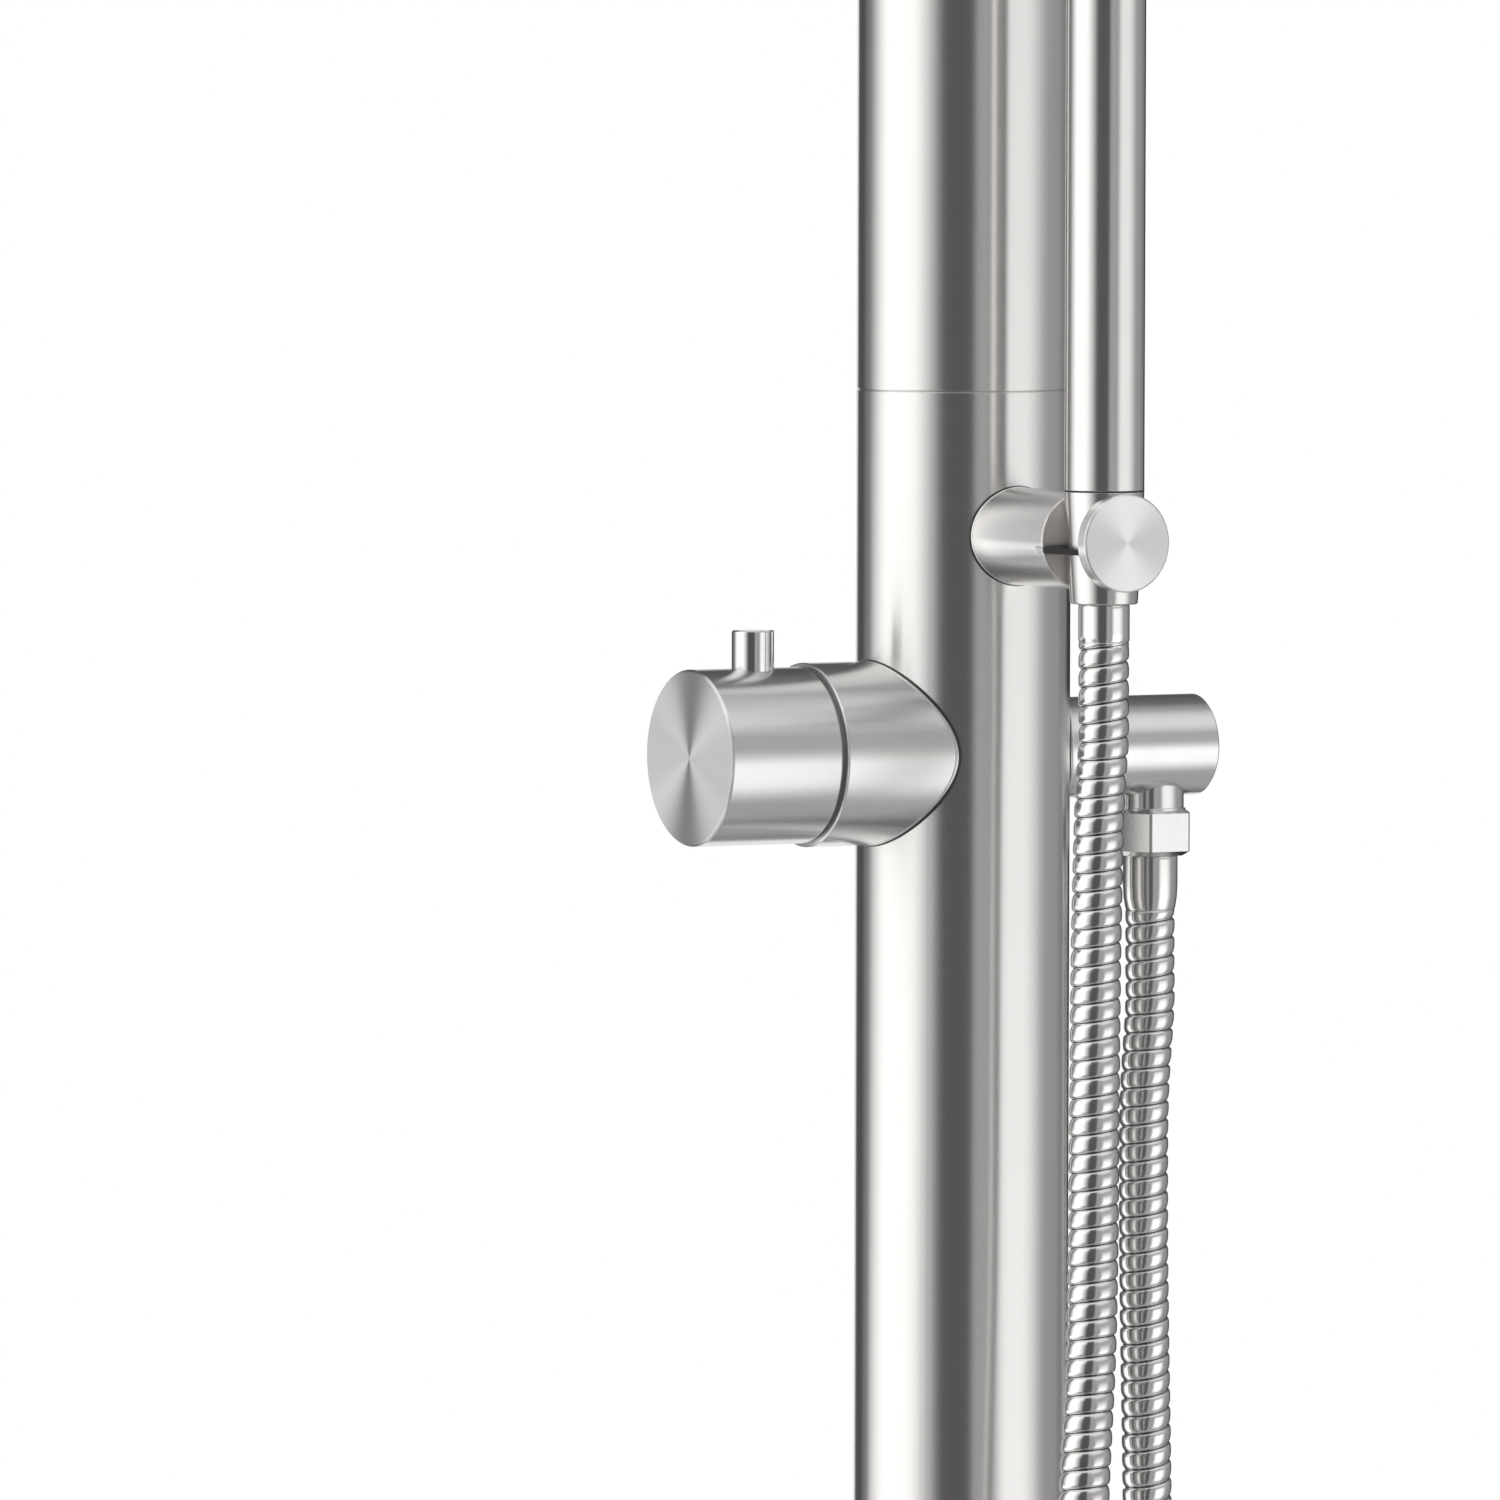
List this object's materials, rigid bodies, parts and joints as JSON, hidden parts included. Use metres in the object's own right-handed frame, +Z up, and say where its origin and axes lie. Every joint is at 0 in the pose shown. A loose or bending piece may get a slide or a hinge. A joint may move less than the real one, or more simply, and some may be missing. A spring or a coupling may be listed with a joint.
{
  "type": "outdoor shower post",
  "caption": "Free-standing round steel shower column with a turning mixer knob, a hand shower in a holder, a ribbed hose to a side outlet and a tilting overhead rain head on a straight arm.",
  "frame": {"origin": "on the column's axis at the underside of the base plate, the centre of the anchor holes' circle", "axes": "+Z up the column; the holder and the rain head face -Y, the mixer's knob faces -X and the hose outlet faces +X"},
  "size_m": [0.22, 0.62, 2.193],
  "materials": {
    "brushed_steel": "brushed",
    "turned_steel": "turned, with fine rings",
    "hose_steel": "satin",
    "brass": "machined",
    "dark_plastic": "matte",
    "pale_plastic": "matte",
    "rubber": "matte",
    "silicone": "satin"
  },
  "bodies": {
    "root": {"base_flange": "brushed_steel", "lower_column": "brushed_steel", "upper_column": "brushed_steel", "joint_tube": "brushed_steel", "column_cap": "turned_steel", "base_screws": "turned_steel", "joint_screws": "turned_steel", "mixer_shell": "brushed_steel", "glide_ring": "dark_plastic", "valve_body": "brass", "mixer_cartridge": "pale_plastic", "cartridge_nut": "brass", "cold_supply_pipe": "brushed_steel", "hot_supply_pipe": "brushed_steel", "inlet_unions": "brass", "riser_pipe": "brushed_steel", "outlet_feed_pipe": "brushed_steel", "outlet_body": "brushed_steel", "outlet_nipple": "brushed_steel", "check_valve": "pale_plastic", "outlet_washer": "rubber", "hose_nut": "brushed_steel", "outlet_ferrule": "hose_steel", "shower_hose": "hose_steel", "holder_arm": "brushed_steel", "holder_plate": "brushed_steel", "holder_disc": "turned_steel", "shower_arm": "brushed_steel", "arm_washer": "rubber", "ball_inlet": "turned_steel"},
    "knob": {"mixer_knob": "turned_steel", "mixer_spindle": "turned_steel", "knob_pin": "turned_steel"},
    "handset": {"handset_ferrule": "hose_steel", "cone_nut": "brushed_steel", "handset_washer": "rubber", "handset_inlet": "dark_plastic", "handset_tube": "brushed_steel", "handset_nozzles": "silicone", "handset_cap": "turned_steel"},
    "rain_head": {"ball_collar": "turned_steel", "ball_seat": "pale_plastic", "head_shell": "brushed_steel", "nozzle_plate": "turned_steel", "nozzle_mat": "silicone"}
  },
  "joints": [
    {"name": "knob_turn", "type": "hinge", "parent": "root", "child": "knob", "pos_m": [-0.0522, 0, 1.05], "axis": [-1, 0, 0], "range_deg": [-90, 90]},
    {"name": "handset_lift", "type": "slide", "parent": "root", "child": "handset", "axis": [0, 0, 1], "range_m": [0, 0.06]},
    {"name": "head_tilt", "type": "hinge", "parent": "root", "child": "rain_head", "pos_m": [0, -0.4, 2.085], "axis": [1, 0, 0], "range_deg": [-15, 15]}
  ]
}
